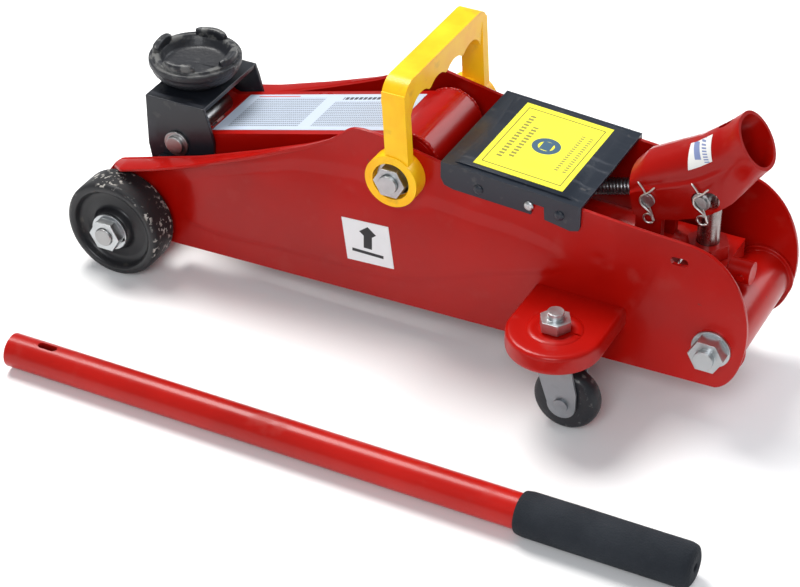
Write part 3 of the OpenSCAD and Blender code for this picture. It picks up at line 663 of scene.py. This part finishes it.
for side, sign in SIDES:
    outer = [(7.7, 71.3), (12.4, 71.4), (13.6, 69.6), (15, 66.4), (22.5, 65.2), (25.6, 66.6),
             (27.6, 71.2), (31.2, 71.4), (33.2, 69.2), (33.3, 60), (33.3, 50), (31.2, 47.6),
             (27, 47.6), (24, 52.5), (14.5, 52.5), (13, 47.6), (7.7, 47.6)]
    prof = rounded(outer, 1.4) * [1, sign]
    rings = turned(prof, (0, 0, WHEEL_R), "y", 120)
    lofts(side + "_front_wheel_casting", [rings], wheel_cast(side + "_wheel_finish", side),
          "front_wheel_" + side, (side + "_front_wheel",), caps=False, smooth=50)

    half = 7.0
    tyre = rounded([(3.2, -half), (14.5, -half), (18.4, -half + 1), (20.1, -half + 3.6), (CASTER_R, 0),
                    (20.1, half - 3.6), (18.4, half - 1), (14.5, half), (3.2, half)], 1.2)
    cen = (CASTER_X, sign * CASTER_Y, CASTER_R)
    lofts(side + "_caster_tyre", [turned(tyre, cen, "y", 72)], TREAD, "caster_wheel_" + side,
          (side + "_caster_wheel",), caps=False, smooth=50)

    # the caster's deck: one pressed sheet, its rim turned down round a 3.2 mm corner. Each ring is
    # the D-shaped outline (half circle and two straight legs) set in by the profile's first value
    prof = rounded([(9, 63.1), (5, 63.1), (2.5, 60), (2.5, 53.2), (0, 53.2), (0, 65.5), (9, 65.5)], 3.2, 6)
    prof = np.clip(prof[5:-5], [0, 53.2], [9, 65.5])
    q = np.linspace(-np.pi, 0, 60)[None]
    rr = 29 - prof[:, :1]
    legs = np.full_like(rr, -44.4)
    px = np.concatenate([KINGPIN_X + rr * np.cos(q), KINGPIN_X + rr, KINGPIN_X - rr], 1)
    py = np.concatenate([-CASTER_Y + rr * np.sin(q), legs, legs], 1)
    ring = [(8.6, 65.2), (10, 65.6), (13, 66.5), (15.5, 66.3), (17.2, 65.3), (12, 64.6)]
    collar = turned(rounded(ring, 1.2), (KINGPIN_X, sign * CASTER_Y, 0), "z", 72)[:-1]
    lofts(side + "_caster_deck_pressing", [spot(px, -sign * py, prof[:, 1:] + 0 * px), collar],
          RED, "chassis", (side + "_caster_bracket",), smooth=40)

# ---------------------------------------------------------------- saddle

cup = rounded([(0.01, 104.2), (7.9, 104.2), (7.9, 115.3), (18.6, 115.3), (20.2, 117.4), (25.4, 120.6),
               (27.6, 123.4), (28.2, 126.4), (29.5, 127.6), (29.5, 131.3), (28.4, 132), (27.3, 131.8),
               (26.9, 133.4), (23.2, 133.4), (21.6, 131), (19.6, 127.0), (17.5, 126.1), (6, 125.6),
               (0.01, 125.6)], 0.9)
parts = [turned(on_axis(cup), (SADDLE_X, 0, 0), "z", 96)]
for quarter in range(4):
    # a tooth: a rounded block carried round the rim, narrowing at both ends
    a = math.radians(5 + 90 * quarter) + np.radians(25) * np.linspace(-1, 1, 22)
    s = (1 - np.linspace(-1, 1, 22) ** 6)[:, None] * 0.4 + 0.6
    b = rounded([(-2.6, 0), (2.6, 0), (2.4, 7.9), (-2.2, 7.9)], 2.0)
    r = 24.6 + b[:, 0][None] * s
    z = 129.6 + b[:, 1][None] * (s * 0.45 + 0.55) + 0.3 * np.sin(a * 9)[:, None]
    parts.append(spot(SADDLE_X + r * np.cos(a)[:, None], r * np.sin(a)[:, None], z))
lofts("saddle_casting_cup", parts, CAST, "saddle", ("saddle",), smooth=40)

# ---------------------------------------------------------------- handle socket

# TUBE runs from the hinge end to the mouth, and WALL from the foot of a wall to its top
TUBE = np.linspace(0, 1, 60)[:, None]
top_x = np.interp(TUBE, [0, 0.08, 0.2, 0.5, 0.8, 0.93, 1], [324, 331, 341, 361, 375, 381, 384.5])
top_z = np.interp(TUBE, [0, 0.08, 0.2, 0.5, 0.8, 0.93, 1], [138.5, 147.5, 153.5, 165, 176.8, 182.5, 185.6])
bot_x = np.interp(TUBE, [0, 0.12, 0.4, 0.6, 0.8, 1], [330, 338, 357, 372, 388, 405])
bot_z = np.interp(TUBE, [0, 0.12, 0.4, 0.6, 0.8, 1], [113, 111.6, 116.5, 122.8, 134.5, 156.5])
WALL = np.linspace(0, 1, 41)[None]
close = ease((TUBE - 0.70) / 0.30)
lift = WALL * (1 - close) + (1 - np.cos(np.pi * WALL)) / 2 * close


def socket_side(back):
    """Half width of the socket wall set back by the given millimetres. At the ears the walls
    are straight up to 0.6 of their height and then arch over; at the mouth they are round."""
    ears = (17.3 - back) * np.sqrt(np.clip(1 - (np.clip(lift - 0.6, 0, 1) / 0.4) ** 2, 0, 1))
    ears = ears * (1 - 0.09 * ease((lift - 0.5) / 0.07) * (1 - close))
    flare = 1.1 * ease((TUBE - 0.88) / 0.12)
    mouth = (16.3 + flare - back) * np.sin(np.pi * WALL) ** 0.92
    pinch = 1 - 0.10 * np.exp(-((TUBE - 0.86) / 0.07) ** 2) * np.exp(-((WALL - 0.3) / 0.16) ** 2)
    return np.maximum((ears * (1 - close) + mouth * close) * pinch, 0.12)


def socket_wall(back):
    """Both halves of the wall in one line: left from bottom to top, then right back down."""
    dx, dz = top_x - bot_x, top_z - bot_z
    length = np.hypot(dx, dz)
    a = lift + (back / length) * (1 - lift) * close - (back / length) * lift
    x, z, y = bot_x + dx * a, bot_z + dz * a, socket_side(back)
    return (np.concatenate([x, x[:, ::-1]], 1), np.concatenate([-y, y[:, ::-1]], 1),
            np.concatenate([z, z[:, ::-1]], 1))


SHEET = 2.2
hood = spot(*(np.concatenate([o, i[:, ::-1]], 1) for o, i in zip(socket_wall(0.0), socket_wall(SHEET))))
hood_piece = lofts("handle_socket_hood", [hood], RED, None, smooth=45)
# the long hole for the plunger's pin points at the hinge, and an oval hole opens the top
radial, near, far = math.radians(14.1), 32.0, 38.5
near_x, near_z = HINGE_X + near * math.cos(radial), HINGE_Z + near * math.sin(radial)
far_x, far_z = HINGE_X + far * math.cos(radial), HINGE_Z + far * math.sin(radial)
cut(hood_piece, [slot_cutter(near_x, near_z, far_x, far_z, 5.4, -25, 25)])
a = np.linspace(0, 2 * np.pi, 20, endpoint=False)
cut(hood_piece, [np.stack([spot(375.5 + 4.2 * np.cos(a), 2.6 * np.sin(a), z) for z in (170, 195)])])
finish_piece(hood_piece, RED, "handle_socket", ("handle_socket",), 45)

# wire clips: down through the pin, most of a turn round a small eye, and back up outside the
# pin's end. Then the pin's flat head
for part, body, px, pz, head_r, mat in (
        ("socket", "handle_socket", HINGE_X, HINGE_Z, 4.4, ZINC),
        ("plunger", "pump_plunger", PLUNGER_X, PLUNGER_Z, 5.6, STEEL)):
    a = np.linspace(0.25, 2.05, 30) * np.pi
    eye = np.stack([px + 2.2 + 3.3 * np.cos(a), np.linspace(-19.2, -21.3, 30), pz - 11 - 3.3 * np.sin(a)], 1)
    down = curve([(px - 6.5, -19, pz + 11), (px - 2.6, -19, pz + 6.4), (px - 0.2, -19, pz + 1),
                  (px + 1.6, -19, pz - 4), (px + 4.2, -19.1, pz - 10)], 30)
    up = curve([(px + 5.2, -21.4, pz - 11), (px + 3.4, -21.7, pz - 6), (px - 2.6, -21.7, pz - 1.5),
                (px - 3.2, -21.7, pz + 3), (px + 1.2, -21.6, pz + 7), (px + 4.8, -21.4, pz + 11.5)], 40)
    lofts(part + "_wire_clip", [wire(p, 0.62, (0, 1, 0.02)) for p in (down, eye, up)], BRIGHT, body,
          (part + "_clip",), smooth=60)

    head = on_axis(rounded([(0.01, -18.9), (head_r, -18.9), (head_r, -17.7), (3.9, -17.5), (3.9, -16),
                            (0.01, -16)], 0.7))
    lofts(part + "_pin_head", [turned(head, (px, 0, pz), "y", 48)], mat, body, caps=False, smooth=50)

# ---------------------------------------------------------------- return springs

FRONT_END, REAR_END = np.array([241.0, 76.0]), np.array([368.5, 113.2])
SPAN = np.linalg.norm(REAR_END - FRONT_END)
SLOPE = (REAR_END - FRONT_END) / SPAN
SPRING_Y, TURNS, COIL_R, HOOK_R, SPRING_WIRE_R = 35.6, 46, 4.6, 5.2, 0.85


def along(s, side, up):
    """A point s along the spring's line, side across it and up at right angles to both."""
    x = FRONT_END[0] + SLOPE[0] * s - SLOPE[1] * up
    z = FRONT_END[1] + SLOPE[1] * s + SLOPE[0] * up
    return np.stack([x, side + 0 * s, z], -1)


for side, sign in SIDES:
    t = np.linspace(0, 1, 1100)
    ang = t * 2 * np.pi * TURNS
    line = along(13 + (SPAN - 26) * t, sign * (SPRING_Y + COIL_R * np.cos(ang)), COIL_R * np.sin(ang))
    out = along(0 * t, sign * np.cos(ang), np.sin(ang)) - along(0 * t, 0 * t, 0 * t)
    tang = np.gradient(line, axis=0)
    tang /= np.linalg.norm(tang, axis=1)[:, None]
    bn = np.cross(tang, out)
    q = np.linspace(0, 2 * np.pi, 6, endpoint=False)
    coil = line[:, None] + SPRING_WIRE_R * (np.cos(q)[None, :, None] * out[:, None]
                                            + np.sin(q)[None, :, None] * bn[:, None])
    coil = spot(coil[..., 0], coil[..., 1], coil[..., 2])
    loop = np.linspace(-0.9, 0.9, 30) * np.pi
    ring = along(-HOOK_R * np.cos(loop), sign * SPRING_Y + 0 * loop, HOOK_R * np.sin(loop))
    leg = along(np.linspace(4.6, 13.6, 12), sign * SPRING_Y, np.linspace(0, 4.4, 12))
    straight = along(np.array([SPAN - 13.4, SPAN - 8, SPAN - 1.6]), sign * SPRING_Y,
                     np.array([4.4, 0.6, 0.0]))
    hook = [[369.6, sign * 37.4, 109.5], [369.8, sign * 40.5, 107.7], [369.8, sign * 45.4, 107.7]]
    tail = curve(np.vstack([straight, hook]), 30)
    rings = [coil] + [wire(path, SPRING_WIRE_R, (0.01, 1, 0.02), 8) for path in (ring, leg)]
    rings.append(wire(tail, SPRING_WIRE_R, (0.1, 0.3, 1), 8))
    o = lofts(side + "_spring_coils", rings, SPRING, None, smooth=60)
    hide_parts(side + "_return_spring")
    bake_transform(o)

# ---------------------------------------------------------------- grip

# the sleeve's profile, (radius, distance along the bar), is carried round the bar's tilted line
tilt = math.atan(2.8 / 442)
sleeve = rounded([(10.6, 338), (10.6, 433), (2.2, 435), (2.2, 439.8), (8.6, 440), (12.2, 438.2),
                  (13.2, 434.5), (13.25, 420), (13.1, 390), (13.2, 362), (13.1, 341), (12.4, 337),
                  (11.4, 336.2), (10.6, 336.2)], 1.2)
a = np.linspace(0, 2 * np.pi, 97)[:, None]
s = sleeve[:, 1][None] + 2
r = sleeve[:, 0][None] + 0.08 * np.sin(s * 0.31) * (sleeve[:, 0][None] > 12.8)
x = BAR_X + s * math.cos(tilt) - r * np.sin(a) * math.sin(tilt)
z = BAR_Z + s * math.sin(tilt) + r * np.sin(a) * math.cos(tilt)
lofts("foam_grip_sleeve", [spot(x, BAR_Y + r * np.cos(a), z)], FOAM, "handle_bar", ("handle_grip",),
      caps=False, smooth=50)

# ---------------------------------------------------------------- cover screws and weld beads

for side, sign in SIDES:
    for k, (x, mat) in enumerate(((244.3, COVER_BLACK), (276.7, ZINC), (296, COVER_BLACK))):
        z = 127.5 - 0.055 * (x - 200) - 4
        dome = rounded([(0.01, 41), (1.9, 41), (1.9, 46.1), (3.1, 46.1), (3.0, 46.9), (1.6, 47.6),
                        (0.01, 47.65)], 0.5) * [1, sign]
        lofts(f"{side}_cover_screw_{k + 1}", [turned(on_axis(dome), (x, 0, z), "y", 32)], mat, "chassis",
              (side + "_cover_screws",) if k == 0 else (), caps=False, smooth=50)
    # a weld bead round the lever's rolled end: a ring whose thickness ripples as it was laid
    a = np.linspace(0, 2 * np.pi, 361)[:, None]
    c = np.linspace(0, 2 * np.pi, 12, endpoint=False)[None]
    t = 1.15 + 0.10 * np.sin(37 * a) + 0.16 * np.sin(9 * a + sign) + 0.08 * np.sin(23 * a + 2 * c)
    rr = 17.9 + t * np.cos(c)
    bead = spot(PIVOT_X + rr * np.cos(a), sign * (29.4 + t * np.sin(c)), PIVOT_Z + rr * np.sin(a))
    lofts(side + "_lever_weld", [bead], RED, "lift", caps=False, smooth=60)

# ---------------------------------------------------------------- socket sticker

# the sticker's patch of the wall, as shares of TUBE and WALL; its rows lean with height
STICKER_UP = np.linspace(0.69, 0.975, 24)[None]
STICKER_ALONG = np.linspace(0.48, 0.72, 24)[:, None] - 0.10 * (STICKER_UP - 0.69)


def patch(back):
    """Points on the socket's left wall, set back by the given millimetres: the wall's own
    grid read at the sticker's rows and heights."""
    row, col = STICKER_ALONG * (len(TUBE) - 1), (STICKER_UP + 0 * STICKER_ALONG) * (WALL.shape[1] - 1)
    i = np.minimum(row.astype(int), len(TUBE) - 2)
    j = np.minimum(col.astype(int), WALL.shape[1] - 2)
    u, v = row - i, col - j
    return [g[i, j] * (1 - u) * (1 - v) + g[i + 1, j] * u * (1 - v) + g[i, j + 1] * (1 - u) * v
            + g[i + 1, j + 1] * u * v for g in socket_wall(back)]


face, rear = patch(-0.22), patch(-0.02)
sheet = spot(*(np.concatenate([f, r[:, ::-1]], 1) for f, r in zip(face, rear)))
low, high = sheet.reshape(-1, 3).min(0), sheet.reshape(-1, 3).max(0)


def lengthways(f):
    """0 to 1 across the socket sticker, along the tube's slope."""
    run, climb = 0.8387, 0.5446
    whole = (high[0] - low[0]) * run + (high[2] - low[2]) * climb
    return ((f.x - low[0]) * run + (f.z - low[2]) * climb) / whole


tag = Finish("white_socket_print", (0.74, 0.74, 0.72), 0.4, coat=0.1, shine=0.35)
u, w = lengthways(tag), (tag.z - low[2]) / (high[2] - low[2])
wavy = w * 3.0 - u * 1.3
ink = (inside_of(u, 0.34, 0.50) * inside_of(wavy, 0.55, 1.45) + inside_of(u, 0.56, 0.68) * rows(wavy, 6, 0.5)
       * inside_of(wavy, 0.3, 1.7)).least(1.0)
tag.set("Base Color", tag.mix(ink * 0.8, (0.74, 0.74, 0.72), (0.06, 0.12, 0.36)))
tag.set("Roughness", 0.34 + tag.noise(120, 3) * 0.15)
lofts("socket_sticker", [sheet], tag.mat, "handle_socket", smooth=50)

# ---------------------------------------------------------------- other parts, edges softened

SKINS = {
    "lift_arm": (RED, 1.3), "saddle_bracket": (BLACK, 1.15), "cover_plate": (COVER_BLACK, 0.7),
    "carry_handle": (YELLOW, 2.7), "power_unit_block": (RED, 0.8), "ram_cylinder": (RED, 0.8),
    "pump_cylinder": (RED, 0.6), "rear_tube": (RED, 0.5), "front_spacer_tube": (RED, 0.5),
    "pivot_tube": (RED, 0.5),
    "left_axle_nut": (ZINC, 0.7), "right_axle_nut": (ZINC, 0.7), "rear_bolt": (ZINC, 0.7),
    "left_pivot_nut": (ZINC, 0.7), "right_pivot_nut": (ZINC, 0.7), "front_axle": (STEEL, 0.8),
    "pivot_shaft": (ZINC, 0.9), "left_kingpin": (ZINC, 0.7), "right_kingpin": (ZINC, 0.7),
    "left_caster_fork": (FORK, 0.4), "right_caster_fork": (FORK, 0.4), "bracket_pin": (STEEL, 0.6),
    "plunger_pin": (STEEL, 0.5), "socket_pin": (ZINC, 0.5), "pump_plunger": (PLUNGER, 0.6),
    "release_valve": (RED, 0.4), "gland_nut": (STEEL, 0.6), "ram": (STEEL, 0.6),
    "handle_tube": (BAR_RED, 0.25), "left_link_rod": (BLACK, 0.4), "right_link_rod": (BLACK, 0.4),
    "saddle_nut": (STEEL, 0.5), "cross_pin": (STEEL, 0.4), "lever_pin": (STEEL, 0.4),
    "push_roller": (STEEL, 0.5), "left_link_stud": (STEEL, 0.3), "right_link_stud": (STEEL, 0.3),
    "left_anchor_stud": (STEEL, 0.3), "right_anchor_stud": (STEEL, 0.3),
}
for node, (mat, width) in SKINS.items():
    softened(node, mat, width)

for node, mat in (("cover_label", cover_print), ("arm_label", arm_print), ("side_sticker", side_print)):
    for slot in NODES[node].material_slots:
        slot.material = mat

# ---------------------------------------------------------------- floor, light and camera

floor_mesh = bpy.data.meshes.new("studio_floor")
corners = [(-6, -6, -0.0004), (6, -6, -0.0004), (6, 6, -0.0004), (-6, 6, -0.0004)]
floor_mesh.from_pydata(corners, [], [(0, 1, 2, 3)])
floor = put("studio_floor", floor_mesh)
pale = Finish("pale_floor", (0.93, 0.93, 0.93), 0.75)
pale.set("Roughness", 0.7 + pale.noise(3, 2) * 0.1)
floor_mesh.materials.append(pale.mat)

world = bpy.data.worlds.new("soft_white")
bpy.context.scene.world = world
world.use_nodes = True
world.node_tree.nodes["Background"].inputs[0].default_value = (0.93, 0.96, 1.0, 1)
world.node_tree.nodes["Background"].inputs[1].default_value = 0.30


def panel(name, place, aim, size, power, tint):
    """A soft area light at a place, facing a point."""
    d = bpy.data.lights.new(name, "AREA")
    d.size, d.energy, d.color = size, power, tint
    o = put(name, d)
    v = np.array(aim, float) - np.array(place, float)
    yaw, pitch = math.atan2(v[1], v[0]), math.atan2(v[2], math.hypot(v[0], v[1]))
    o.location = place
    o.rotation_euler = (pitch + math.pi / 2, 0, yaw - math.pi / 2)


panel("key", (-0.75, 0.35, 1.6), (0, 0, 0.05), 0.8, 34, (1, 0.985, 0.96))
panel("fill", (0.5, -1.9, 1.5), (0, 0, 0.06), 1.0, 26, (0.95, 0.97, 1))
panel("back", (0.7, 1.4, 1.1), (0, 0, 0.1), 1.0, 16, (0.92, 0.96, 1))

cam_data = bpy.data.cameras.new("camera")
cam_data.sensor_width = 36
cam_data.lens = 107.35
cam_data.clip_start = 0.01
cam = put("camera", cam_data)
turn, rise, far_off = math.radians(27.07), math.radians(35.14), 1.52417
aim = spot(169.45, 0, -5.93)
level = math.cos(rise)
cam.location = aim + far_off * np.array([math.sin(turn) * level, -math.cos(turn) * level, math.sin(rise)])
cam.rotation_euler = (math.pi / 2 - rise, 0, turn)
bpy.context.scene.camera = cam
bpy.context.scene.view_settings.view_transform = "Standard"
